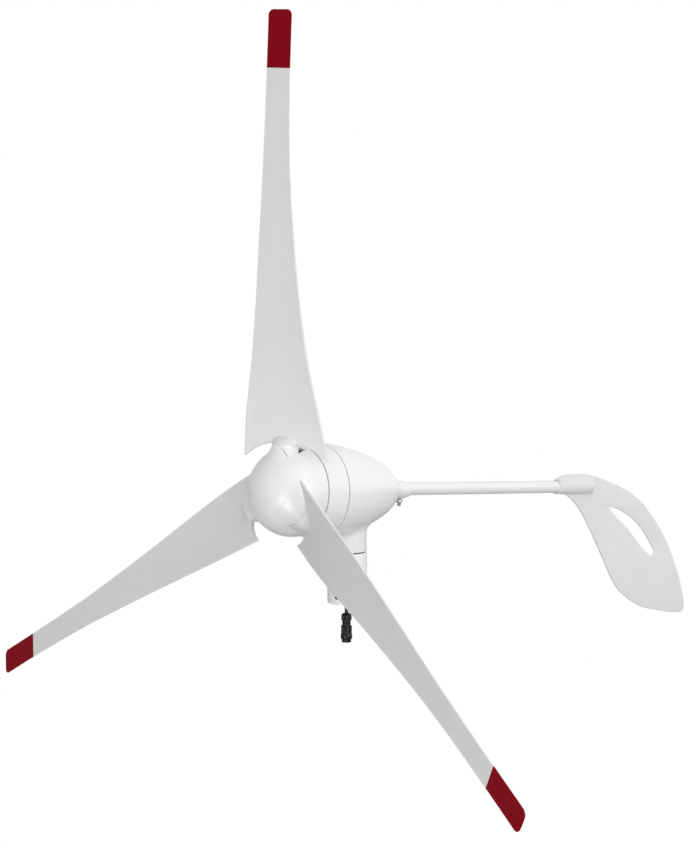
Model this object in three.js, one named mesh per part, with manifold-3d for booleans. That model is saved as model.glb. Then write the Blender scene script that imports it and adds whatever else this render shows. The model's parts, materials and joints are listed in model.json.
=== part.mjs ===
// A small three-bladed wind turbine for the top of a 48 mm pole.
// Millimetres, +Z up. The origin is the middle of the pole sleeve's open lower end, on the yaw axis.
// The rotor faces -Y and the tail boom points to +Y. The head's machine axis is nose-up by TILT_DEGREES.
// Head frame: +Y runs downwind along the machine axis, which meets the yaw axis at YAW_STATION.
import * as THREE from "three";
import { mergeVertices } from "three/addons/utils/BufferGeometryUtils.js";
import Module from "manifold-3d";

const wasm = await Module();
wasm.setup();

const { degToRad } = THREE.MathUtils;
const GAP = 0.3; // clearance between pieces that touch on the real machine
const FINE = 28; // facets round a casing
const COARSE = 12; // facets round a small turned piece
const MEDIUM = 24; // facets round a hub, stator or boom

// Head
const TILT_DEGREES = 5;
const AXIS_HEIGHT = 157.5; // where the machine axis meets the yaw axis
const YAW_STATION = 10.5;

// Pole sleeve and yaw gear, heights above the sleeve's lower rim
const SLEEVE = { radius: 28, bore: 24.3, top: 71, seat: 53, floor: 63, cableHole: 6 };
const CLAMP_SCREW = { radius: 3, height: 10.5, length: 3, firstAngle: -75, count: 3 };
const YAW_SHAFT = { radius: 10, bore: 4.5, neck: 7, shoulder: 129, top: 175, flange: 22, flangeTop: 69 };
const YAW_BEARING = { bottoms: [75, 109], width: 14, innerTo: 13.5, outerFrom: 19, outerTo: 23.5 };
const NECK = { radius: 27.8, bottom: 72.8, bore: 23.8, boreTop: 125, throat: 15.5, top: 130 };

// Slip rings and brushes, on the yaw shaft inside the head
const SLIP_RING_HEIGHTS = [141, 150, 159];
const SLIP_RING = { inner: 9.8, outer: 10.8, width: 5, coreBottom: 134, coreTop: 166 };
const BRUSH = { size: 4.4, length: 9 };

// Machine axis stations in the head frame
const SPINNER = { centre: -90, length: 60, radius: 62.5, rim: -77.4, wall: 2.6, segments: 8 };
const HOUSING = { front: -75.6, rear: -44, frontRadius: 61.5, rearRadius: 66.5, wall: 3.5, plate: 6.5 };
const SHELL_FRONT = -42.7;
const SHELL_WALL = 4;
const FLARE_FROM = 88; // where the neck starts to widen into the shell
const TAIL_SOCKET = { inner: 94, end: 119, lip: 128, radius: 12.5, lipRadius: 10.2 };
const SHAFT = { radius: 7, front: -137, rear: -22, collar: 10, collarFrom: -89.6, collarTo: -84 };
const STATOR = { front: -64, rear: -44, inner: 42, outer: 53 };
const MAGNET = { front: -64, rear: -42, inner: 36.3, outer: 41 };
const BRACKET = { front: -34, rear: -29, radius: 60 };
const HOUSING_BOLT = { radius: 2, circle: 57, front: -71.5, rear: -28.7, head: 3.6 };

// Hub and blades, in the rotor frame, whose origin is the hub's centre
const HUB_STATION = -104;
const HUB = { front: -22, rear: 14, radius: 45, nose: 38, bore: 7.3 };
const BLADES = 3;
const BLADE_LEAN = degToRad(1.75); // how far the first blade stands past the vertical
const ROOT_AXIS = -4; // the blade roots' station along the rotor axis
const SPIGOT = { radius: 12, from: 18.5, to: 47.5 };
const ROOT_BOSS = { radius: 16.8, from: 47, shoulder: 60, to: 82 };
const COLLAR = { inner: 17.2, outer: 19.2, base: 25, top: 63 };
const BLADE_BOLT = { radius: 3, circle: 32, head: 5, headHeight: 6 };
const TIP_FROM = 568; // where the red tip begins
const TIP_TO = 645;
const TIP_CORNER = 8;
// A blade's sections: distance from the rotor axis, chord, pitch in degrees, how far the middle of the
// chord stands upwind of the hub, and how far it is swept towards the leading edge.
const BLADE_SECTIONS = [
  [40, 126, 26, 2.5, -3],
  [110, 110, 22, 14.5, -1],
  [170, 92, 17.7, 22.8, 1.3],
  [250, 73, 15.4, 32.4, 3.7],
  [340, 57, 14.9, 42.3, 5],
  [440, 43.5, 14.7, 52.3, 4.7],
  [550, 38, 14.1, 61.8, 2.6],
  [650, 37.5, 13.6, 69.4, 0],
];
// How far each resting blade's tip has sagged under its own weight: towards the leading edge, downwind
const BLADE_SAG = [
  [0, 0],
  [10, 14],
  [-4, -9],
];
const FISHTAIL = { neck: 17, depth: 65, leadCurve: 0.0115, trailCurve: 0.0096, reach: 90, bottom: 30 };

// Tail
const BOOM = { radius: 9.3, bore: 7.8, from: 96, to: 500, rise: 1.5 };
const TAIL_BOLT = { radius: 2.5, station: 114, low: -23, high: 10.5 };
const TAIL_NUT = { radius: 4.6, top: -13.6, height: 4.5 };
const VANE = { thickness: 3.2, front: 442, pocketEnd: 522, pocketRadius: 11.6, pocketTop: 15 };

// The cable's route: out of the grommet, down through the sleeve and into the connector
const CABLE_RADIUS = 2.5;
const CABLE_ROUTE = [
  [0, 0, 52.7],
  [0, 0, 48.7],
  [-0.02, -0.02, 44.7],
  [-0.07, -0.08, 40.7],
  [-0.15, -0.17, 36.7],
  [-0.25, -0.28, 32.7],
  [-0.37, -0.41, 28.7],
  [-0.49, -0.54, 24.7],
  [-0.6, -0.66, 20.7],
  [-0.7, -0.77, 16.7],
  [-0.79, -0.87, 12.7],
  [-0.86, -0.95, 8.7],
  [-0.91, -1, 4.7],
  [-0.95, -1.04, 0.7],
  [-0.98, -1.07, -3.3],
  [-1, -1.1, -7.3],
  [-1.01, -1.11, -11.3],
  [-1.02, -1.12, -15.6],
];
const CONNECTOR = { top: [-1.03, -1.13, -15.9], lean: [-0.3, -0.32, -40.5] };

const MATERIALS = {
  white_shell: [0xf4f4f2, 0.35, 0],
  blade_white: [0xdcdcda, 0.5, 0],
  blade_red: [0x7d0f20, 0.45, 0],
  steel: [0xb8babc, 0.3, 1],
  dark_steel: [0x55585c, 0.4, 1],
  aluminium: [0xc9cbcd, 0.4, 1],
  laminations: [0x6a6d70, 0.5, 0.8],
  copper: [0xb06a3a, 0.4, 0.8],
  magnet: [0x3c3f42, 0.4, 0.6],
  brass: [0xc6a355, 0.3, 1],
  carbon: [0x26282a, 0.7, 0],
  insulator: [0x2e3034, 0.6, 0],
  cable_black: [0x161618, 0.6, 0],
  connector_black: [0x121214, 0.45, 0],
};

// ---------------------------------------------------------------- shared shape helpers

// A closed geometry as a solid, turned outwards if its faces point in.
function solidOf(geometry) {
  const bare = geometry.index ? geometry.toNonIndexed() : geometry.clone();
  bare.deleteAttribute("normal");
  bare.deleteAttribute("uv");
  const merged = mergeVertices(bare, 1e-3);
  const triVerts = new Uint32Array(fullTriangles(merged.index.array));
  const vertProperties = new Float32Array(merged.attributes.position.array);
  if (signedVolume(vertProperties, triVerts) < 0) {
    for (let i = 0; i < triVerts.length; i += 3) {
      [triVerts[i + 1], triVerts[i + 2]] = [triVerts[i + 2], triVerts[i + 1]];
    }
  }
  return new wasm.Manifold(new wasm.Mesh({ numProp: 3, vertProperties, triVerts }));
}

// The triangles whose three corners are still apart after merging.
function fullTriangles(index) {
  const kept = [];
  for (let i = 0; i < index.length; i += 3) {
    const [a, b, c] = [index[i], index[i + 1], index[i + 2]];
    if (a !== b && b !== c && c !== a) kept.push(a, b, c);
  }
  return kept;
}

function signedVolume(points, triangles) {
  const corner = (k) => new THREE.Vector3().fromArray(points, 3 * triangles[k]);
  let sum = 0;
  for (let i = 0; i < triangles.length; i += 3) {
    sum += corner(i).dot(corner(i + 1).cross(corner(i + 2)));
  }
  return sum;
}

function geometryOf(solid) {
  const mesh = solid.getMesh();
  const geometry = new THREE.BufferGeometry();
  geometry.setAttribute("position", new THREE.BufferAttribute(mesh.vertProperties, 3));
  geometry.setIndex(new THREE.BufferAttribute(mesh.triVerts, 1));
  const flat = geometry.toNonIndexed();
  flat.computeVertexNormals();
  return flat;
}

function piece(parent, name, solid, slot) {
  const [color, roughness, metalness] = MATERIALS[slot];
  const material = new THREE.MeshStandardMaterial({ color, roughness, metalness });
  const mesh = new THREE.Mesh(geometryOf(solid), material);
  mesh.name = name;
  parent.add(mesh);
  return mesh;
}

// A turned solid about +Y from its profile, a closed list of [radius, station].
function turnedY(profile, facets = COARSE) {
  const closed = [...profile, profile[0]];
  const points = closed.map(([radius, station]) => new THREE.Vector2(radius, station));
  return solidOf(new THREE.LatheGeometry(points, facets));
}

// The same about +Z, from [radius, height].
function turnedZ(profile, facets = COARSE) {
  return turnedY(profile, facets).rotate([90, 0, 0]);
}

function ringProfile(inner, outer, low, high) {
  return [
    [inner, low],
    [outer, low],
    [outer, high],
    [inner, high],
  ];
}

const ringY = (inner, outer, low, high, facets) => turnedY(ringProfile(inner, outer, low, high), facets);
const ringZ = (inner, outer, low, high, facets) => turnedZ(ringProfile(inner, outer, low, high), facets);
const rodY = (radius, low, high, facets) => ringY(0, radius, low, high, facets);
const rodZ = (radius, low, high, facets) => ringZ(0, radius, low, high, facets);

// A hexagon nut about +Z for a thread of the given radius; across is its radius over the corners.
function hexNut(thread, across, low, high) {
  return rodZ(across, low, high, 6).subtract(rodZ(thread + GAP, low - 1, high + 1));
}

function box(width, depth, height, x, y, z) {
  return solidOf(new THREE.BoxGeometry(width, depth, height).translate(x, y, z));
}

// Skins a list of rings, each a loop of points in which point k faces point (last - k).
function skinned(rings) {
  const count = rings[0].length;
  const positions = rings.flat().flatMap((point) => point.toArray());
  const index = [];
  rings.slice(1).forEach((_, ring) => {
    for (let k = 0; k < count; k += 1) {
      const a = ring * count + k;
      const b = ring * count + ((k + 1) % count);
      index.push(a, b, b + count, a, b + count, a + count);
    }
  });
  const last = (rings.length - 1) * count;
  for (let k = 0; k < count / 2 - 1; k += 1) {
    const [a, b, c, d] = [k, k + 1, count - 2 - k, count - 1 - k];
    index.push(a, c, b, a, d, c);
    index.push(last + a, last + b, last + c, last + a, last + c, last + d);
  }
  const geometry = new THREE.BufferGeometry();
  geometry.setAttribute("position", new THREE.Float32BufferAttribute(positions, 3));
  geometry.setIndex(index);
  return solidOf(geometry);
}

// Reads a column of BLADE_SECTIONS at a distance from the rotor axis, by a smooth curve through its rows.
function sectionValue(column, span) {
  const rows = BLADE_SECTIONS;
  const last = rows.length - 1;
  const k = Math.max(0, rows.findLastIndex((row) => row[0] <= span && row !== rows[last]));
  const slopeAt = (i) => {
    const [before, after] = [rows[Math.max(0, i - 1)], rows[Math.min(last, i + 1)]];
    return (after[column] - before[column]) / (after[0] - before[0]);
  };
  const step = rows[k + 1][0] - rows[k][0];
  const t = (span - rows[k][0]) / step;
  const rise = rows[k + 1][column] - rows[k][column];
  const [m0, m1] = [slopeAt(k) * step, slopeAt(k + 1) * step];
  return rows[k][column] + t * m0 + t * t * (3 * rise - 2 * m0 - m1) + t ** 3 * (m0 + m1 - 2 * rise);
}

// ---------------------------------------------------------------- pole sleeve, yaw shaft and cable

function addPoleSleeve(mast) {
  let sleeve = turnedZ(
    [
      [SLEEVE.bore, 0],
      [SLEEVE.radius - 0.8, 0],
      [SLEEVE.radius, 0.8],
      [SLEEVE.radius, SLEEVE.top],
      [SLEEVE.radius - 4, SLEEVE.top],
      [SLEEVE.radius - 4, SLEEVE.floor],
      [SLEEVE.cableHole, SLEEVE.floor],
      [SLEEVE.cableHole, SLEEVE.seat],
      [SLEEVE.bore, SLEEVE.seat],
    ],
    FINE,
  );
  for (let i = 0; i < CLAMP_SCREW.count; i += 1) {
    const angle = CLAMP_SCREW.firstAngle + (360 / CLAMP_SCREW.count) * i;
    const place = (solid) => solid.rotate([0, 0, angle - 90]).translate([0, 0, CLAMP_SCREW.height]);
    const outer = SLEEVE.radius - 0.5;
    sleeve = sleeve.subtract(place(rodY(CLAMP_SCREW.radius + GAP, SLEEVE.bore - 4, SLEEVE.radius + 4)));
    const screw = rodY(CLAMP_SCREW.radius, outer - CLAMP_SCREW.length, outer);
    piece(mast, `clamp_screw_${i + 1}`, place(screw), "dark_steel");
  }
  piece(mast, "pole_sleeve", sleeve, "white_shell");
}

function addYawShaft(mast) {
  const floor = SLEEVE.floor + GAP;
  const shaft = turnedZ([
    [YAW_SHAFT.bore, floor],
    [YAW_SHAFT.flange, floor],
    [YAW_SHAFT.flange, YAW_SHAFT.flangeTop],
    [YAW_SHAFT.radius + 3, YAW_SHAFT.flangeTop],
    [YAW_SHAFT.radius + 3, YAW_BEARING.bottoms[0] - GAP],
    [YAW_SHAFT.radius, YAW_BEARING.bottoms[0] - GAP],
    [YAW_SHAFT.radius, YAW_SHAFT.shoulder],
    [YAW_SHAFT.neck, YAW_SHAFT.shoulder],
    [YAW_SHAFT.neck, YAW_SHAFT.top],
    [YAW_SHAFT.bore, YAW_SHAFT.top],
  ]);
  piece(mast, "yaw_shaft", shaft, "steel");
  YAW_BEARING.bottoms.forEach((bottom, i) => {
    const label = ["lower", "upper"][i];
    const top = bottom + YAW_BEARING.width;
    const inner = ringZ(YAW_SHAFT.radius + GAP, YAW_BEARING.innerTo, bottom, top);
    const outer = ringZ(YAW_BEARING.outerFrom, YAW_BEARING.outerTo, bottom, top);
    piece(mast, `yaw_bearing_${label}_inner`, inner, "steel");
    piece(mast, `yaw_bearing_${label}_outer`, outer, "steel");
  });
  const nutBottom = YAW_BEARING.bottoms[1] + YAW_BEARING.width + GAP;
  piece(mast, "yaw_nut", hexNut(YAW_SHAFT.radius, 14.2, nutBottom, nutBottom + 5), "steel");
}

function addSlipRings(mast) {
  const core = ringZ(YAW_SHAFT.neck + GAP, SLIP_RING.inner - GAP, SLIP_RING.coreBottom, SLIP_RING.coreTop);
  piece(mast, "slip_ring_core", core, "insulator");
  let holder = box(18, 13, 37.5, 0, 20.2, NECK.top + GAP + 18.75);
  SLIP_RING_HEIGHTS.forEach((height, i) => {
    const [low, high] = [height - SLIP_RING.width / 2, height + SLIP_RING.width / 2];
    piece(mast, `slip_ring_${i + 1}`, ringZ(SLIP_RING.inner, SLIP_RING.outer, low, high), "brass");
    const slot = BRUSH.size + 2 * GAP;
    holder = holder.subtract(box(slot, 20, slot, 0, 14, height));
    const brushFrom = SLIP_RING.outer + GAP;
    const brush = box(BRUSH.size, BRUSH.length, BRUSH.size, 0, brushFrom + BRUSH.length / 2, height);
    piece(mast, `brush_${i + 1}`, brush, "carbon");
  });
  piece(mast, "brush_holder", holder, "insulator");
}

function addCable(mast) {
  const grommet = ringZ(CABLE_RADIUS + GAP, SLEEVE.cableHole - GAP, SLEEVE.seat, SLEEVE.floor);
  piece(mast, "cable_grommet", grommet, "cable_black");
  piece(mast, "inner_lead", rodZ(CABLE_RADIUS, SLEEVE.seat, SLIP_RING.coreTop + 3, 10), "cable_black");

  const route = new THREE.CatmullRomCurve3(CABLE_ROUTE.map((p) => new THREE.Vector3(...p)));
  const section = new THREE.Shape();
  section.absarc(0, 0, CABLE_RADIUS, 0, 2 * Math.PI);
  const shape = new THREE.Shape(section.getPoints(4).slice(1));
  const tube = new THREE.ExtrudeGeometry(shape, { steps: 10, extrudePath: route });
  piece(mast, "output_cable", solidOf(tube), "cable_black");
}

// The connector hangs on the cable: its own +Z runs back up the cable, from the top of its gland nut.
function addConnector(mast) {
  const connector = new THREE.Group();
  connector.position.set(...CONNECTOR.top);
  const down = new THREE.Vector3(...CONNECTOR.lean).normalize();
  connector.quaternion.setFromUnitVectors(new THREE.Vector3(0, 0, -1), down);
  mast.add(connector);

  const gland = turnedZ(
    [
      [0, -10],
      [7.4, -10],
      [7.4, -3.5],
      [5.8, -0.4],
      [4, 0],
      [0, 0],
    ],
    16,
  );
  piece(connector, "connector_gland", gland, "connector_black");
  const body = turnedZ(
    [
      [0, -41.5],
      [6.7, -41.5],
      [6.7, -17.6],
      [6.1, -16.6],
      [6.1, -10 - GAP],
      [0, -10 - GAP],
    ],
    16,
  );
  piece(connector, "connector_body", body, "connector_black");
  const ring = turnedZ(
    [
      [7, -37.2],
      [8.1, -36.9],
      [8.1, -30],
      [7.5, -29.3],
      [7.5, -17.9],
      [7, -17.9],
    ],
    20,
  );
  piece(connector, "coupling_ring", ring, "connector_black");
}

// ---------------------------------------------------------------- generator and nacelle

// The nacelle shell's outer radius at a station of the machine axis, as points of its outline.
const SHELL_OUTLINE = [
  [SHELL_FRONT, 66.5],
  [-26, 65.3],
  [-6, 62.2],
  [19, 56.4],
  [44, 48.6],
  [69, 38],
  [88, 26],
  [100, 16.8],
  [106, 13.6],
  [TAIL_SOCKET.end, TAIL_SOCKET.radius],
];

function addNacelleShell(head) {
  const outerProfile = [
    [0, SHELL_FRONT],
    ...SHELL_OUTLINE.map(([station, radius]) => [radius, station]),
    [TAIL_SOCKET.lipRadius, TAIL_SOCKET.lip],
    [0, TAIL_SOCKET.lip],
  ];
  const innerProfile = [
    [0, SHELL_FRONT - 1],
    ...SHELL_OUTLINE.slice(0, 6).map(([station, radius]) => [radius - SHELL_WALL, station - (station < -40)]),
    [16, 84],
    [0, 86],
  ];
  const upright = (solid) =>
    solid.translate([0, 0, -AXIS_HEIGHT]).rotate([TILT_DEGREES, 0, 0]).translate([0, YAW_STATION, 0]);
  const flare = turnedZ(
    [
      [0, NECK.bottom],
      [NECK.radius, NECK.bottom],
      [NECK.radius, FLARE_FROM],
      [NECK.radius + 1.5, FLARE_FROM + 7],
      [NECK.radius + 5, FLARE_FROM + 12.5],
      [NECK.radius + 12, FLARE_FROM + 17],
      [NECK.radius + 4, FLARE_FROM + 26],
      [0, FLARE_FROM + 26],
    ],
    FINE,
  );
  const tube = rodZ(NECK.radius - 1, NECK.bottom, NECK.top, FINE);
  const bore = rodZ(NECK.bore, NECK.bottom - 5, NECK.boreTop, FINE);
  const throat = rodZ(NECK.throat, NECK.boreTop - 1, NECK.top + 5, FINE);
  let shell = turnedY(outerProfile, FINE).add(upright(flare));
  shell = shell.subtract(turnedY(innerProfile, FINE)).add(upright(tube));
  shell = shell.subtract(upright(bore)).subtract(upright(throat));
  const boomBore = rodY(BOOM.radius + GAP, TAIL_SOCKET.inner, TAIL_SOCKET.lip + 5, MEDIUM);
  shell = shell.subtract(boomBore.translate([0, 0, BOOM.rise]));
  const boltHole = rodZ(TAIL_BOLT.radius + GAP, -30, 0, 12).translate([0, TAIL_BOLT.station, 0]);
  shell = shell.subtract(boltHole);
  piece(head, "nacelle_shell", shell, "white_shell");
}

function addGenerator(head) {
  const { front, rear, frontRadius, rearRadius, wall, plate } = HOUSING;
  let housing = turnedY(
    [
      [18, front + 2.5],
      [frontRadius - 9, front + 2.5],
      [frontRadius - 6, front],
      [frontRadius, front],
      [frontRadius + 2.4, front + 12],
      [rearRadius, rear],
      [rearRadius - wall, rear],
      [frontRadius + 2 - wall, front + 14],
      [frontRadius - wall - 0.5, front + plate],
      [22, front + plate],
      [22, front + plate + 5],
      [18, front + plate + 5],
    ],
    FINE,
  );
  const bracketHub = BRACKET.front - 9;
  let bracket = ringY(18, BRACKET.radius, BRACKET.front, BRACKET.rear, FINE);
  bracket = bracket.add(ringY(18, 22, bracketHub, BRACKET.rear, FINE));
  for (let i = 0; i < 3; i += 1) {
    const place = (solid) => solid.translate([HOUSING_BOLT.circle, 0, 0]).rotate([0, 30 + 120 * i, 0]);
    const hole = place(rodY(HOUSING_BOLT.radius + GAP, front + 3.4, HOUSING_BOLT.rear + 1, 12));
    housing = housing.subtract(hole);
    bracket = bracket.subtract(hole);
    const window = rodY(11, BRACKET.front - 1, BRACKET.rear + 1, COARSE).translate([40, 0, 0]);
    bracket = bracket.subtract(window.rotate([0, 90 + 120 * i, 0]));
    const bolt = rodY(HOUSING_BOLT.radius, HOUSING_BOLT.front, HOUSING_BOLT.rear, 8).add(
      rodY(HOUSING_BOLT.head, HOUSING_BOLT.rear, HOUSING_BOLT.rear + 3.5, 12),
    );
    piece(head, `housing_bolt_${i + 1}`, place(bolt), "dark_steel");
  }
  piece(head, "generator_housing", housing, "white_shell");
  piece(head, "rear_bearing_bracket", bracket, "aluminium");

  let core = ringY(STATOR.inner, STATOR.outer, STATOR.front, STATOR.rear, MEDIUM);
  const slots = 12;
  for (let i = 0; i < slots; i += 1) {
    const slot = box(4, 40, 5, 0, (STATOR.front + STATOR.rear) / 2, STATOR.inner + 1.5);
    core = core.subtract(slot.rotate([0, (360 / slots) * i, 0]));
  }
  piece(head, "stator_core", core, "laminations");
  const windingProfile = (from, to) => [
    [45, from],
    [51, from],
    [52, (from + to) / 2],
    [51, to],
    [45, to],
    [44, (from + to) / 2],
  ];
  piece(head, "winding_front", turnedY(windingProfile(-68.6, -64.4), MEDIUM), "copper");
  piece(head, "winding_rear", turnedY(windingProfile(-43.6, -37.5), MEDIUM), "copper");
}

function addMainBearings(head, rotor) {
  const seats = { front: HOUSING.front + 3, rear: BRACKET.front - 9 };
  Object.entries(seats).forEach(([label, from]) => {
    const to = from + 8;
    const inner = ringY(SHAFT.radius + GAP, 10, from, to).translate([0, -HUB_STATION, 0]);
    piece(head, `${label}_bearing_outer`, ringY(13.5, 17.6, from, to), "steel");
    piece(rotor, `${label}_bearing_inner`, inner, "steel");
  });
}

// ---------------------------------------------------------------- tail

function addTail(head) {
  const boltHole = rodZ(TAIL_BOLT.radius + GAP, -30, 30, 12).translate([0, TAIL_BOLT.station, 0]);
  const boom = ringY(BOOM.bore, BOOM.radius, BOOM.from, BOOM.to, MEDIUM).translate([0, 0, BOOM.rise]);
  piece(head, "tail_boom", boom.subtract(boltHole), "white_shell");

  const bolt = rodZ(TAIL_BOLT.radius, TAIL_BOLT.low, TAIL_BOLT.high, 8);
  piece(head, "tail_bolt", bolt.translate([0, TAIL_BOLT.station, 0]), "steel");
  const nut = hexNut(TAIL_BOLT.radius, TAIL_NUT.radius, TAIL_NUT.top - TAIL_NUT.height, TAIL_NUT.top);
  piece(head, "tail_nut", nut.translate([0, TAIL_BOLT.station, 0]), "steel");
  addVane(head);
}

// The vane's outline, in the head frame's [station, height].
function vaneShape() {
  const point = ([station, height]) => new THREE.Vector2(station, height);
  const shape = new THREE.Shape();
  shape.moveTo(VANE.front, 12);
  shape.splineThru([[453, 17.5], [473, 20], [513, 19.6], [553, 11], [608, -6], [648, -27]].map(point));
  shape.splineThru([[692, -67.5], [721, -104], [746, -146.5], [761, -182]].map(point));
  shape.quadraticCurveTo(768, -205, 749, -204);
  shape.splineThru([[722, -202], [657, -190.5], [608, -167], [582, -142.5], [559, -111]].map(point));
  shape.splineThru([[530, -71.5], [504.5, -40], [484.5, -22], [463, -10], [VANE.front, -5]].map(point));
  const slot = new THREE.Path();
  slot.moveTo(564, -31);
  slot.splineThru([[581, -44], [616, -68.5], [651.5, -98], [670, -109]].map(point));
  slot.quadraticCurveTo(681.5, -113, 682.5, -104);
  slot.splineThru([[659, -77.5], [631.5, -54.5], [589, -35], [564, -31]].map(point));
  shape.holes.push(slot);
  return shape;
}

function addVane(head) {
  const plate = new THREE.ExtrudeGeometry(vaneShape(), {
    depth: VANE.thickness,
    bevelEnabled: false,
    curveSegments: 4,
  });
  plate.translate(0, 0, -VANE.thickness / 2);
  // The outline's own X, Y and depth lie along the head frame's Y, Z and X.
  const swap = new THREE.Matrix4().makeBasis(
    new THREE.Vector3(0, 1, 0),
    new THREE.Vector3(0, 0, 1),
    new THREE.Vector3(1, 0, 0),
  );
  plate.applyMatrix4(swap);

  const pocketSection = new THREE.Shape();
  const bulge = VANE.pocketRadius;
  const shoulder = degToRad(130); // where the round pocket's side turns in towards the plate
  pocketSection.moveTo(-VANE.thickness / 2, VANE.pocketTop);
  pocketSection.absarc(0, BOOM.rise, bulge, shoulder, 3 * Math.PI - shoulder, false);
  pocketSection.lineTo(VANE.thickness / 2, VANE.pocketTop);
  const pocket = new THREE.ExtrudeGeometry(pocketSection, {
    depth: VANE.pocketEnd - VANE.front,
    bevelEnabled: false,
    curveSegments: 10,
  });
  // The section's X, Y and depth lie along the head frame's X, Z and -Y.
  const lay = new THREE.Matrix4().makeBasis(
    new THREE.Vector3(1, 0, 0),
    new THREE.Vector3(0, 0, 1),
    new THREE.Vector3(0, -1, 0),
  );
  pocket.applyMatrix4(lay).translate(0, VANE.pocketEnd, 0);
  const boomBore = rodY(BOOM.radius + GAP, VANE.front - 5, BOOM.to + GAP, MEDIUM).translate([0, 0, BOOM.rise]);
  const vane = solidOf(plate).add(solidOf(pocket)).subtract(boomBore);
  piece(head, "tail_vane", vane, "blade_white");
}

// ---------------------------------------------------------------- rotor

// The ball-shaped spinner's outline, [radius, station] in the rotor frame, from its nose to its rim.
function spinnerArc(inset) {
  const centre = SPINNER.centre - HUB_STATION;
  const rim = SPINNER.rim - HUB_STATION;
  const [length, radius] = [SPINNER.length - inset, SPINNER.radius - inset];
  const rimAngle = Math.PI - Math.acos((rim - centre) / length);
  return Array.from({ length: SPINNER.segments + 1 }, (_, k) => {
    const angle = (rimAngle * k) / SPINNER.segments;
    return [radius * Math.sin(angle), centre - length * Math.cos(angle)];
  });
}

function addSpinner(rotor) {
  const outerBall = turnedY([...spinnerArc(0), [0, SPINNER.rim - HUB_STATION]], FINE);
  const inner = spinnerArc(SPINNER.wall);
  const rim = SPINNER.rim - HUB_STATION;
  const lastRadius = inner[inner.length - 1][0];
  const innerBall = turnedY([...inner, [lastRadius, rim + 1], [0, rim + 1]], FINE);
  const outwards = (solid, i) => solid.translate([0, ROOT_AXIS, 0]).rotate([0, -120 * i, 0]);
  let spinner = outerBall;
  for (let i = 0; i < BLADES; i += 1) {
    const collar = turnedZ([
      [0, 30],
      [COLLAR.base + 6, COLLAR.top - 23],
      [COLLAR.base, COLLAR.top - 10.5],
      [COLLAR.base - 4, COLLAR.top - 5.5],
      [COLLAR.outer, COLLAR.top - 2],
      [COLLAR.outer - 0.6, COLLAR.top],
      [0, COLLAR.top],
    ], 20);
    spinner = spinner.add(outwards(collar, i));
  }
  spinner = spinner.subtract(innerBall);
  for (let i = 0; i < BLADES; i += 1) {
    spinner = spinner.subtract(outwards(rodZ(COLLAR.inner, 30, 80, 20), i));
  }
  spinner = spinner.intersect(rodY(90, -60, rim, FINE));

  const plateFrom = rim - 6;
  let plate = ringY(SHAFT.collar + 1, SPINNER.radius - SPINNER.wall - 2.6, plateFrom, plateFrom + 3, FINE);
  for (let i = 0; i < BLADES; i += 1) {
    const place = (solid) => solid.translate([48, 0, 0]).rotate([0, 30 + 120 * i, 0]);
    plate = plate.subtract(place(rodY(2.3, plateFrom - 1, plateFrom + 4, 12)));
    const screw = rodY(1.9, plateFrom - 6, plateFrom + 3 + GAP, 8).add(
      rodY(3.4, plateFrom + 3 + GAP, plateFrom + 5.2, 12),
    );
    piece(rotor, `back_plate_screw_${i + 1}`, place(screw), "dark_steel");
  }
  piece(rotor, "nose_cone", spinner, "white_shell");
  piece(rotor, "spinner_back_plate", plate, "aluminium");
}

function addHub(rotor) {
  let hub = turnedY(
    [
      [HUB.bore, HUB.front],
      [HUB.nose, HUB.front],
      [HUB.radius, HUB.front + 8],
      [HUB.radius, HUB.rear],
      [HUB.bore, HUB.rear],
    ],
    MEDIUM,
  );
  for (let i = 0; i < BLADES; i += 1) {
    const turn = (solid) => solid.rotate([0, -120 * i, 0]);
    const socket = rodZ(SPIGOT.radius + GAP, SPIGOT.from - GAP, HUB.radius + 5, 16);
    hub = hub.subtract(turn(socket.translate([0, ROOT_AXIS, 0])));
    const boltHole = rodY(BLADE_BOLT.radius + GAP, HUB.front - 1, HUB.rear + 1, 12);
    hub = hub.subtract(turn(boltHole.translate([0, 0, BLADE_BOLT.circle])));
    const headFrom = HUB.front - BLADE_BOLT.headHeight - GAP;
    const bolt = rodY(BLADE_BOLT.radius, headFrom, HUB.rear - 1, 8).add(
      rodY(BLADE_BOLT.head, headFrom, HUB.front - GAP, 12),
    );
    piece(rotor, `blade_bolt_${i + 1}`, turn(bolt.translate([0, 0, BLADE_BOLT.circle])), "steel");
  }
  piece(rotor, "hub", hub, "aluminium");

  const atHub = (station) => station - HUB_STATION;
  const shaft = rodY(SHAFT.radius, atHub(SHAFT.front), atHub(SHAFT.rear)).add(
    rodY(SHAFT.collar, atHub(SHAFT.collarFrom), atHub(SHAFT.collarTo)),
  );
  piece(rotor, "main_shaft", shaft, "steel");
  const nut = hexNut(SHAFT.radius, 12.5, -HUB.front + GAP, -HUB.front + 8.3).rotate([90, 0, 0]);
  piece(rotor, "hub_nut", nut, "steel");

  const core = turnedY([
    [SHAFT.radius + GAP, atHub(MAGNET.front)],
    [11, atHub(MAGNET.front)],
    [11, atHub(MAGNET.front) + 5],
    [30, atHub(MAGNET.front) + 5],
    [30, atHub(MAGNET.front)],
    [MAGNET.inner - GAP, atHub(MAGNET.front)],
    [MAGNET.inner - GAP, atHub(MAGNET.rear) - 3],
    [SHAFT.radius + GAP, atHub(MAGNET.rear) - 3],
  ], MEDIUM);
  piece(rotor, "magnet_rotor", core, "laminations");
  const ring = ringY(MAGNET.inner, MAGNET.outer, atHub(MAGNET.front), atHub(MAGNET.rear) - 3, MEDIUM);
  piece(rotor, "ring_magnet", ring, "magnet");
}

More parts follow.
